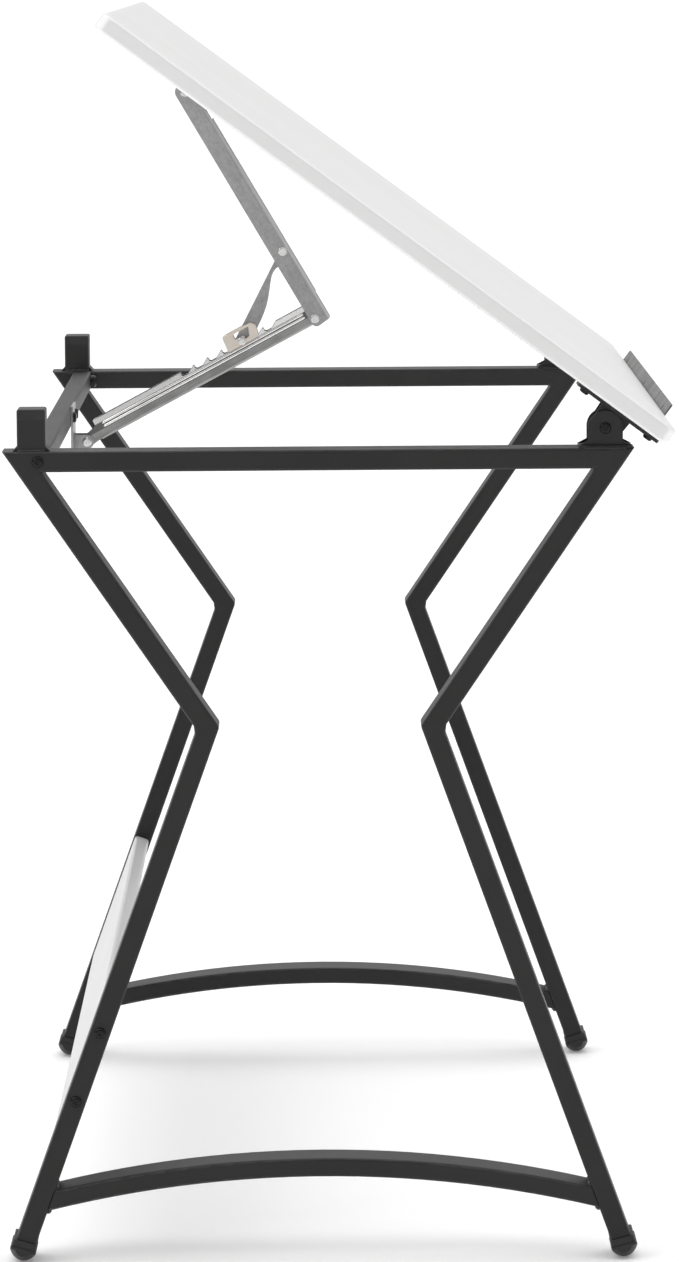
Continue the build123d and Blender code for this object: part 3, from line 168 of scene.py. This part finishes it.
class Finish(Nodes):
    """A procedural material on Object coordinates."""

    def __init__(self, name):
        self.material = bpy.data.materials.new(name)
        self.material.use_nodes = True
        super().__init__(self.material.node_tree)
        self.tree.nodes.clear()
        self.shader = self.add("ShaderNodeBsdfPrincipled", {}, {})
        surface = Field(self, self.shader.outputs[0])
        self.add("ShaderNodeOutputMaterial", {}, {"Surface": surface})
        self.place = self.node("ShaderNodeTexCoord", {}, {}, "Object")

    def turned(self, turn=0.0, stretch=(1, 1, 1)):
        """Object coordinates turned about X by an angle, then scaled along each axis."""
        settings = {"vector_type": "TEXTURE"}
        inputs = {"Vector": self.place, "Rotation": (turn, 0, 0), "Scale": stretch}
        return self.node("ShaderNodeMapping", settings, inputs)

    def noise(self, scale, detail=2.0, roughness=0.5, where=None, distortion=0.0):
        inputs = {"Vector": where or self.place, "Scale": scale, "Detail": detail,
                  "Roughness": roughness, "Distortion": distortion}
        return self.node("ShaderNodeTexNoise", {}, inputs, "Fac")

    def cells(self, scale):
        """A level that is even within each crystal and differs from one to the next."""
        inputs = {"Vector": self.place, "Scale": scale}
        colour = self.node("ShaderNodeTexVoronoi", {"feature": "F1"}, inputs, "Color")
        return self.node("ShaderNodeSeparateColor", {}, {0: colour}, "Red")

    def part_of(self, vector, axis):
        """One of a vector's three parts."""
        return self.node("ShaderNodeSeparateXYZ", {}, {0: vector}, axis)

    def normal_part(self, axis):
        """How far the surface's own normal points along one axis."""
        normal = self.node("ShaderNodeNewGeometry", {}, {}, "Normal")
        return self.part_of(normal, axis)

    def tube_edges(self):
        """1 along the rounded long edges of tubes and sheets that run square to X, 0 on their faces."""
        across = self.normal_part("X").power(2)
        return (across * (1 - across) * 4).ramp(0.25, 0.95)

    def mix(self, share, first, second):
        inputs = {0: share, 6: first, 7: second}
        return self.node("ShaderNodeMix", {"data_type": "RGBA"}, inputs, 2)

    def bump(self, height, strength, distance, under=None):
        """Relief from a height, laid over another relief where one is given."""
        inputs = {"Height": height, "Strength": strength, "Distance": distance}
        if under is not None:
            inputs["Normal"] = under
        return self.node("ShaderNodeBump", {}, inputs)

    def done(self, **sockets):
        """Sets the shader's sockets, named with _ for spaces, and gives the material."""
        self.join(self.shader, {name.replace("_", " "): value for name, value in sockets.items()})
        return self.material


def grey(value, warmth=0.0):
    """A grey, with its red raised and its blue lowered by the share warmth."""
    return (value * (1 + warmth), value, value * (1 - warmth), 1.0)


def powder_coat():
    """Satin black powder coat: orange peel, faint clouds, edges painted lighter as thin wear and as a
    painted highlight, and a little dust.
    """
    f = Finish("black_powder_coat")
    clouds = f.noise(9.0, 3.0)
    peel = f.noise(620.0, 2.0, 0.45)
    grit = f.noise(2600.0, 1.0)
    scuffs = f.noise(38.0, 6.0, 0.72, f.turned(0.6, (1.0, 0.28, 1.0))).ramp(0.66, 0.74)
    edges = f.tube_edges() * f.noise(70.0, 3.0).ramp(0.35, 0.7, 0.35, 1.0)
    dust = f.normal_part("Z").ramp(0.55, 1.0) * f.noise(55.0, 4.0, 0.6).ramp(0.3, 0.75, 0.4, 1.0)
    colour = f.mix(clouds.ramp(0.3, 0.7), grey(0.0122, 0.02), grey(0.0168, 0.02))
    # the rounded edges painted lighter, patchily: thin wear, and a painted highlight along them
    colour = f.mix(edges * 0.5, colour, grey(0.052))
    colour = f.mix(scuffs * 0.10, colour, grey(0.075))
    colour = f.mix(dust * 0.24, colour, grey(0.085, 0.02))
    roughness = 0.47 + (clouds - 0.5) * 0.10 + (grit - 0.5) * 0.10 + scuffs * 0.10 + dust * 0.06
    relief = f.bump(peel, 0.20, 0.00025, f.bump(grit, 0.06, 0.0001))
    return f.done(Base_Color=colour, Roughness=roughness, Normal=relief, Specular_IOR_Level=0.36)


def rolled_zinc(name, turn):
    """Zinc plate on rolled strip: fine streaks along the piece, soft mottling, and rubbed edges that are
    also painted lighter as a highlight.
    """
    f = Finish(name)
    along = f.turned(turn, (0.8, 1.0, 14.0))
    streaks = f.noise(700.0, 3.0, 0.6, along)
    broad = f.noise(150.0, 2.0, 0.5, f.turned(turn, (1.0, 1.0, 6.0)))
    mottle = f.noise(210.0, 5.0, 0.62, distortion=0.6)
    spangle = f.cells(420.0)
    edges = f.tube_edges()
    tone = streaks * 0.30 + broad * 0.25 + mottle * 0.30 + spangle * 0.15
    colour = f.mix(tone.ramp(0.30, 0.70), grey(0.31), grey(0.43, 0.002))
    # rounded edges and bends painted lighter: rubbed plating, and a painted highlight along the bends
    colour = f.mix(edges * 0.8, colour, grey(0.6235))
    rough = 0.42 + (mottle - 0.5) * 0.22 + (spangle - 0.5) * 0.08 - edges * 0.08
    relief = f.bump(streaks, 0.10, 0.00008, f.bump(mottle, 0.14, 0.00018))
    return f.done(Base_Color=colour, Roughness=rough, Normal=relief, Metallic=1.0)


def bright_strip(name, turn, light, dark, roughness, grooves=None):
    """Bright-plated strip: soft streaks along the piece, a faint haze and bends painted paler as a
    highlight.
    Where grooves are given it is painted darker between their two levels, as shade over the ribbed band,
    and painted brighter and smoother above them, as a sheen."""
    f = Finish(name)
    along = f.turned(turn, (0.6, 1.0, 18.0))
    streaks = f.noise(420.0, 2.0, 0.5, along)
    haze = f.noise(70.0, 2.0)
    tone = streaks * 0.6 + haze * 0.4
    colour = f.mix(tone.ramp(0.35, 0.65), grey(dark, 0.005), grey(light, 0.008))
    # rounded bends painted paler: a painted highlight
    colour = f.mix(f.tube_edges() * 0.4, colour, grey(min(light * 1.2, 0.86)))
    rough = roughness + (haze - 0.5) * 0.12 + (streaks - 0.5) * 0.06
    if grooves:
        base = CHANNEL_UP.dot(CHANNEL_ELBOW)
        level = f.part_of(f.turned(turn), "Y") * -1 - base + (streaks - 0.5) * 0.0006
        # painted shade darkens the ribbed band, and a painted sheen brightens the band above it
        ribbed_band_painted_shade, upper_band_painted_sheen = [level.ramp(edge - GROOVE_BLUR, edge + GROOVE_BLUR) for edge in grooves]
        colour = f.mix(ribbed_band_painted_shade * 0.8, colour, grey(0.11, 0.01))
        colour = f.mix(upper_band_painted_sheen * 0.9, colour, grey(0.84, 0.004))
        rough = rough - upper_band_painted_sheen * 0.10
    relief = f.bump(streaks, 0.04, 0.00005)
    return f.done(Base_Color=colour, Roughness=rough, Normal=relief, Metallic=1.0)


def passivated_zinc():
    """The warm, faintly rainbowed plating of the latch."""
    f = Finish("passivated_zinc")
    drift = f.noise(95.0, 2.0, 0.5, distortion=1.2)
    mottle = f.noise(420.0, 4.0, 0.6)
    colour = f.mix(drift.ramp(0.35, 0.65), (0.80, 0.70, 0.61, 1), (0.75, 0.71, 0.63, 1))
    colour = f.mix(mottle.ramp(0.45, 0.75) * 0.4, colour, (0.74, 0.62, 0.61, 1))
    # rounded edges painted lighter: a painted highlight
    colour = f.mix(f.tube_edges() * 0.5, colour, grey(0.82, 0.03))
    rough = 0.34 + (mottle - 0.5) * 0.2
    relief = f.bump(mottle, 0.10, 0.0001)
    return f.done(Base_Color=colour, Roughness=rough, Normal=relief, Metallic=0.85)


def brushed_ledge():
    """Dark brushed steel strip, brushed across its width, with uneven bands and small dull marks."""
    f = Finish("brushed_ledge_steel")
    across = f.turned(REST_TILT, (1.0, 25.0, 25.0))
    strokes = f.noise(900.0, 3.0, 0.65, across)
    bands = f.noise(52.0, 3.0, 0.7, across)
    marks = f.noise(120.0, 4.0, 0.6)
    tone = strokes * 0.25 + bands * 0.55 + marks * 0.2
    colour = f.mix(tone.ramp(0.38, 0.62), grey(0.085), grey(0.235, 0.01))
    rough = 0.42 + (marks - 0.5) * 0.2
    relief = f.bump(strokes, 0.12, 0.0001)
    return f.done(Base_Color=colour, Roughness=rough, Normal=relief, Metallic=0.9)


def white_laminate(name, tone=0.79):
    """Satin melamine: a very fine pebble, faint clouding, a few grey specks and a painted highlight on
    the rounded edges.
    """
    f = Finish(name)
    clouds = f.noise(5.0, 3.0)
    pebble = f.noise(1500.0, 2.0, 0.5)
    waves = f.noise(26.0, 2.0)
    specks = f.noise(900.0, 1.0).ramp(0.74, 0.79)
    smudges = f.noise(11.0, 4.0, 0.6).ramp(0.55, 0.75)
    colour = f.mix(clouds.ramp(0.3, 0.7), grey(tone * 0.975, 0.004), grey(tone, 0.002))
    colour = f.mix(specks * 0.12, colour, grey(tone * 0.6))
    # rounded edges painted lighter: a painted highlight along the arris
    colour = f.mix(f.tube_edges() * 0.8, colour, grey(min(tone * 1.22, 0.96)))
    rough = 0.33 + (pebble - 0.5) * 0.08 + smudges * 0.07
    relief = f.bump(pebble, 0.05, 0.00012, f.bump(waves, 0.03, 0.0004))
    return f.done(Base_Color=colour, Roughness=rough, Normal=relief,
                  Coat_Weight=0.12, Coat_Roughness=0.25)


def moulded_plastic():
    """Black moulded plastic with a spark-eroded grain, duller where it rubs."""
    f = Finish("black_moulded_plastic")
    grain = f.noise(1900.0, 2.0, 0.6)
    clouds = f.noise(40.0, 3.0)
    worn = f.normal_part("Z").size().ramp(0.85, 1.0) * f.noise(160.0, 4.0).ramp(0.4, 0.7)
    colour = f.mix(clouds.ramp(0.3, 0.7), grey(0.0165), grey(0.0225, 0.01))
    colour = f.mix(worn * 0.35, colour, grey(0.055))
    rough = 0.50 + (grain - 0.5) * 0.16 + (clouds - 0.5) * 0.12
    relief = f.bump(grain, 0.22, 0.00015)
    return f.done(Base_Color=colour, Roughness=rough, Normal=relief, Specular_IOR_Level=0.38)


def black_oxide():
    """Blackened steel of bolts and nuts, a touch browner and rubbed at its rims."""
    f = Finish("black_oxide_steel")
    mottle = f.noise(520.0, 4.0, 0.6)
    rubbed = f.noise(240.0, 3.0).ramp(0.58, 0.72)
    colour = f.mix(mottle.ramp(0.3, 0.7), grey(0.0045, 0.05), grey(0.0085, 0.03))
    colour = f.mix(rubbed * 0.2, colour, grey(0.06))
    rough = 0.20 + (mottle - 0.5) * 0.14
    relief = f.bump(mottle, 0.08, 0.0001)
    return f.done(Base_Color=colour, Roughness=rough, Normal=relief, Specular_IOR_Level=0.24)


def bright_plate():
    """Nickel-bright plating of rivets and pins, with hairline turning marks."""
    f = Finish("bright_plated_steel")
    mottle = f.noise(900.0, 3.0, 0.6)
    haze = f.noise(160.0, 3.0)
    colour = f.mix(haze.ramp(0.3, 0.7), grey(0.58), grey(0.70, 0.01))
    rough = 0.17 + (mottle - 0.5) * 0.12 + (haze - 0.5) * 0.08
    relief = f.bump(mottle, 0.05, 0.00006)
    return f.done(Base_Color=colour, Roughness=rough, Normal=relief, Metallic=1.0)


def studio_floor():
    """Pale seamless paper, a little self-lit so that it stays near white."""
    f = Finish("pale_floor")
    fibres = f.noise(240.0, 2.0)
    colour = f.mix(f.noise(1.3, 2.0), grey(0.885), grey(0.90))
    return f.done(Base_Color=colour, Roughness=0.75 + fibres * 0.1, Specular_IOR_Level=0.2,
                  Emission_Color=colour, Emission_Strength=0.19)


# ---------------------------------------------------------------- modelling
def deselect():
    bpy.ops.object.select_all(action="DESELECT")


def new_piece(name, add, **settings):
    """Adds a primitive by one of bpy.ops.mesh's calls, and leaves it in edit mode, all selected."""
    deselect()
    add(**settings)
    piece = bpy.context.object
    piece.name = piece.data.name = name
    bpy.ops.object.mode_set(mode="EDIT")
    bpy.ops.mesh.select_all(action="SELECT")
    return piece


def close_up(piece):
    """Leaves edit mode with the faces pointing out, the place in the mesh and rounded parts smooth."""
    bpy.ops.mesh.select_all(action="SELECT")
    bpy.ops.mesh.remove_doubles(threshold=MERGE_DISTANCE)
    bpy.ops.mesh.normals_make_consistent(inside=False)
    bpy.ops.object.mode_set(mode="OBJECT")
    bpy.ops.object.transform_apply(location=True, rotation=True, scale=True)
    bpy.ops.object.shade_smooth_by_angle(angle=SMOOTH_ANGLE)
    return piece


def copy_of(piece, name, matrix):
    """A copy with its own mesh, carried by a matrix from where the piece is."""
    deselect()
    piece.select_set(True)
    bpy.context.view_layer.objects.active = piece
    bpy.ops.object.duplicate(linked=False)
    copy = bpy.context.object
    copy.name = copy.data.name = name
    copy.matrix_world = matrix
    bpy.ops.object.transform_apply(location=True, rotation=True, scale=True)
    bpy.ops.object.mode_set(mode="EDIT")
    bpy.ops.mesh.select_all(action="SELECT")
    bpy.ops.mesh.normals_make_consistent(inside=False)
    bpy.ops.object.mode_set(mode="OBJECT")
    return copy


def finish_piece(piece, body, material):
    piece.data.materials.clear()
    piece.data.materials.append(material)
    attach(piece, body)


def drawn_bar(name, start, end, profile, radii, sides, squash=1.0):
    """A closed bar from start to end, extruded ring by ring: profile gives each ring's share of the
    length, and radii its radius. squash flattens it along X."""
    way = end - start
    turn = way.to_track_quat("Z", "Y").to_euler()
    piece = new_piece(name, bpy.ops.mesh.primitive_circle_add, vertices=sides, radius=radii[0],
                      fill_type="NGON", location=start, rotation=turn)
    for before, here, old, new in zip(profile, profile[1:], radii, radii[1:]):
        bpy.ops.mesh.extrude_region_move(TRANSFORM_OT_translate={"value": way * (here - before)})
        bpy.ops.transform.resize(value=(new / old,) * 3, center_override=start + way * here)
    if squash != 1.0:
        bpy.ops.mesh.select_all(action="SELECT")
        bpy.ops.transform.resize(value=(squash, 1, 1), center_override=start)
    return close_up(piece)


def weld(name, start, end, radius):
    """A rippled bead with tapered ends."""
    start, end = Vector(start), Vector(end)
    count = max(4, round((end - start).length / WELD_RIPPLE))
    profile = [n / count for n in range(count + 1)]
    wave, turn = WELD_WAVE
    shares = [1.0 + wave * math.sin(turn * n) - WELD_NOTCH * (n % 2) for n in range(count + 1)]
    shares[0] = shares[-1] = WELD_END
    return drawn_bar(name, start, end, profile, [radius * share for share in shares], sides=10)


def frame_welds(material):
    """Welds of the two side frames: each is made on the left, and copied to the other places."""
    low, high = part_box("left_rail")
    x0, x1 = low.x + TUBE_INSET, high.x - TUBE_INSET
    corner_welds = (("arch_top_weld", ARCH_JOINT_TOP, ARCH_WELD),
                    ("arch_under_weld", ARCH_JOINT_UNDER, ARCH_WELD),
                    ("rail_corner_weld", CORNER_JOINT, CORNER_WELD))
    for name, (y, z), radius in corner_welds:
        first = weld(f"left_rear_{name}", (x0, y, z), (x1, y, z), radius)
        for place, flip in (("right_rear", (-1, 1)), ("left_front", (1, -1)), ("right_front", (-1, -1))):
            other = copy_of(first, f"{place}_{name}", Matrix.Diagonal((*flip, 1, 1)))
            finish_piece(other, "frame", material)
        finish_piece(first, "frame", material)
    post_low, post_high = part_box("left_rest_post")
    base_low, base_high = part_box("left_hinge_base_bracket")
    middle = (low.x + high.x) / 2
    post_half = (post_high.x - post_low.x) / 2
    post_y = (post_low.y + POST_FLARE, post_high.y - POST_FLARE)
    side_welds = [(f"post_{side}_weld", middle + way * post_half, *post_y, POST_WELD)
                  for side, way in (("outer", -1), ("inner", 1))]
    plate_y = (base_low.y + PLATE_WELD_INSET, base_high.y - PLATE_WELD_INSET)
    side_welds += [(f"hinge_{side}_weld", x, *plate_y, PLATE_WELD)
                   for side, x in (("outer", base_low.x), ("inner", base_high.x))]
    for name, x, y0, y1, radius in side_welds:
        first = weld(f"left_{name}", (x, y0, high.z), (x, y1, high.z), radius)
        other = copy_of(first, f"right_{name}", Matrix.Diagonal((-1, 1, 1, 1)))
        for piece in (first, other):
            finish_piece(piece, "frame", material)


def channel_ribs(material):
    """Half-round crowns on the channel's pressed ribs, with rounded ends."""
    for number, level in enumerate(RIB_LEVELS, 1):
        start, end = [CHANNEL_ELBOW + CHANNEL_WAY * d + CHANNEL_UP * level for d in RIB_SPAN]
        start.x = end.x = -CHANNEL_HALF
        profile = [0.0, RIB_TAPER / 4, RIB_TAPER, 1 - RIB_TAPER, 1 - RIB_TAPER / 4, 1.0]
        radii = [RIB_RADIUS * share for share in (0.2, 0.72, 1.0, 1.0, 0.72, 0.2)]
        rib = drawn_bar(f"channel_rib_left_{number}", start, end, profile, radii, sides=16,
                        squash=RIB_PROUD / RIB_RADIUS)
        other = copy_of(rib, f"channel_rib_right_{number}", Matrix.Diagonal((-1, 1, 1, 1)))
        for piece in (rib, other):
            finish_piece(piece, "channel", material)


def cross_screw(height):
    """A pan head with a cross recess, standing on the plane z = 0 and pointing up."""
    head = new_piece("screw_pattern", bpy.ops.mesh.primitive_cylinder_add, vertices=32,
                     radius=SCREW_HEAD, depth=height, location=(0, 0, height / 2))
    bpy.ops.object.mode_set(mode="OBJECT")
    for edge in head.data.edges:
        ends = [(head.matrix_world @ head.data.vertices[v].co).z for v in edge.vertices]
        edge.select = min(ends) > height / 2
    for face in head.data.polygons:
        face.select = False
    bpy.ops.object.mode_set(mode="EDIT")
    bpy.ops.mesh.select_mode(type="EDGE")
    bpy.ops.mesh.bevel(offset=height * SCREW_ROUND, segments=5, affect="EDGES")
    close_up(head)
    length, width, depth = SCREW_RECESS
    for turn in (0, math.pi / 2):
        slot = new_piece("slot", bpy.ops.mesh.primitive_cube_add, size=1, location=(0, 0, height),
                         rotation=(0, 0, turn), scale=(length, width, 2 * depth))
        close_up(slot)
        deselect()
        head.select_set(True)
        bpy.context.view_layer.objects.active = head
        cut = head.modifiers.new("cut", "BOOLEAN")
        cut.operation, cut.object, cut.solver = "DIFFERENCE", slot, "EXACT"
        bpy.ops.object.modifier_apply(modifier=cut.name)
        bpy.data.objects.remove(slot)
    return head


def on_top(x, along, above):
    """A place given from the hinge axis, along and square to the tilted top."""
    return PIVOT + Matrix.Rotation(REST_TILT, 3, "X") @ Vector((x, along, above))


def screws(black):
    """Every wood screw's head, which stands for the plain ones of the frame."""
    pattern, tall = cross_screw(SCREW_HEIGHT), cross_screw(HINGE_SCREW_HEIGHT)
    down = Matrix.Rotation(REST_TILT + math.pi, 4, "X")
    forward = Matrix.Rotation(REST_TILT + math.pi / 2, 4, "X")
    low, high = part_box("left_rail")
    middle = (low.x + high.x) / 2
    hinge_face = PIVOT_TO_UNDERSIDE - HINGE_PLATE
    bracket_face = PIVOT_TO_UNDERSIDE - BRACKET_PLATE
    places = []
    for side, x in (("left", middle), ("right", -middle)):
        for number, y in enumerate(HINGE_SCREW_PLACES, 1):
            place = on_top(x, y, hinge_face)
            places.append((f"{side}_hinge_screw_{number}", tall, place, down, f"{side}_hinge_screws"))
    corners = [(x, y) for x in (-LIFTER_SCREW_HALF, LIFTER_SCREW_HALF) for y in LIFTER_SCREW_PLACES]
    for number, (x, y) in enumerate(corners, 1):
        place = on_top(x, y, bracket_face)
        places.append((f"lifter_screw_{number}", pattern, place, down, "lifter_top_screws"))
    for number, share in enumerate((-1, 0, 1), 1):
        place = on_top(share * LEDGE_SCREW_SPACING, -LEDGE_HEAD_FACE, LEDGE_SCREW_LEVEL)
        places.append((f"ledge_screw_{number}", pattern, place, forward, "ledge_screws"))
    for number, (name, shape, place, turn, node) in enumerate(places):
        spun = Matrix.Rotation(SCREW_SPIN * number, 4, "Z")
        screw = copy_of(shape, name, Matrix.Translation(place) @ turn @ spun)
        finish_piece(screw, "tabletop", black)
        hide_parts(node)
    for shape in (pattern, tall):
        bpy.data.objects.remove(shape)


# ---------------------------------------------------------------- the scene
def dress_nodes(looks):
    """Gives every CAD node the finish named for it, or else that of its material slot."""
    for part in frame["record"]["subparts"]:
        name, slot = part["node"], part["material_slot"]
        materials = frame["nodes"][name].data.materials
        materials.clear()
        materials.append(looks.get(name) or looks[slot])


def light(name, kind, place, target, energy, size):
    """size is the angle of a sun, or the two sides of a softbox."""
    data = bpy.data.lights.new(name, kind)
    data.energy = energy
    if kind == "AREA":
        data.shape = "RECTANGLE"
        data.size, data.size_y = size
    else:
        data.angle = size
    lamp = bpy.data.objects.new(name, data)
    bpy.context.scene.collection.objects.link(lamp)
    lamp.location = place
    lamp.rotation_mode = "QUATERNION"
    lamp.rotation_quaternion = (Vector(target) - Vector(place)).to_track_quat("-Z", "Y")


def studio():
    """A pale floor under a broad overhead light, with less light from the side the camera is on."""
    world = bpy.data.worlds.new("studio")
    bpy.context.scene.world = world
    world.use_nodes = True
    sky = Nodes(world.node_tree)
    way = sky.node("ShaderNodeTexCoord", {}, {}, "Generated")
    across = sky.node("ShaderNodeSeparateXYZ", {}, {0: way}, "X")
    near, far = WORLD_LIGHT
    inputs = {"Value": across, "From Min": -1.0, "From Max": 1.0, "To Min": near, "To Max": far}
    fade = sky.node("ShaderNodeMapRange", {}, inputs)
    sky.join(sky.tree.nodes["Background"], {"Color": (1, 1, 1, 1), "Strength": fade})
    for lamp in LAMPS:
        light(*lamp)
    bpy.context.scene.view_settings.view_transform = "Standard"


def floor():
    deselect()
    bpy.ops.mesh.primitive_plane_add(size=FLOOR_SIZE)
    plane = bpy.context.object
    plane.name = "floor"
    plane.data.materials.append(studio_floor())


def camera():
    """Stands to the left of the table, level with its top and turned slightly down."""
    yaw, pitch = CAMERA_YAW, CAMERA_PITCH
    ahead = Vector((math.cos(yaw) * math.cos(pitch), math.sin(yaw) * math.cos(pitch), -math.sin(pitch)))
    right = Vector((math.sin(yaw), -math.cos(yaw), 0))
    down = ahead.cross(right)
    roll = Matrix.Rotation(CAMERA_ROLL, 3, ahead)
    right, down = roll @ right, roll @ down
    data = bpy.data.cameras.new("camera")
    data.sensor_width = SENSOR
    data.lens = CAMERA_LENS
    data.clip_end = CAMERA_REACH
    eye = bpy.data.objects.new("camera", data)
    bpy.context.scene.collection.objects.link(eye)
    axes = Matrix((right, -down, -ahead)).transposed()
    eye.matrix_world = Matrix.Translation(CAMERA_PLACE) @ axes.to_4x4()
    bpy.context.scene.camera = eye


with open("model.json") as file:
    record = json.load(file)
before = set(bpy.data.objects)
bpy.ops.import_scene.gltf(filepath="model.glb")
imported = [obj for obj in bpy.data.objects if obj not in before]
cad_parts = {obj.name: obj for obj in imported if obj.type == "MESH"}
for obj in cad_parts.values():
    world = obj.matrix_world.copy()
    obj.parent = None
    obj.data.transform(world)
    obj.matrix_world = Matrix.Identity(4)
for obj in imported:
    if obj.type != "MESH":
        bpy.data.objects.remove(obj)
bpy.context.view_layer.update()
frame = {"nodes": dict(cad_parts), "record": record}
coat, plastic, oxide = powder_coat(), moulded_plastic(), black_oxide()
channel_turn = math.atan2(CHANNEL_WAY.z, CHANNEL_WAY.y) - math.pi / 2
arm_turn = math.atan2(ARM_WAY.z, ARM_WAY.y) - math.pi / 2
looks = {
    "black_steel": coat,
    "zinc_steel": rolled_zinc("rolled_zinc", 0.0),
    "lift_arm": rolled_zinc("rolled_zinc_arm", arm_turn),
    "bright_zinc": bright_strip("bright_strip", channel_turn, light=0.36, dark=0.26,
                                roughness=0.32, grooves=GROOVE_LEVELS),
    "yellow_zinc": passivated_zinc(),
    "ledge_steel": brushed_ledge(),
    "white_laminate": white_laminate("white_laminate"),
    # the same white laminate at a darker tone: painted shade on the back board
    "back_board": white_laminate("back_board_painted_shade_laminate", 0.60),
    "black_plastic": plastic,
    "black_fastener": oxide,
    "plated_fastener": bright_plate(),
}
dress_nodes(looks)
frame_welds(coat)
# the rib crowns get a far brighter copy of the channel's finish: a painted highlight
channel_ribs(bright_strip("rib_painted_highlight", channel_turn, light=0.86, dark=0.72, roughness=0.16))
screws(oxide)
studio()
floor()
camera()
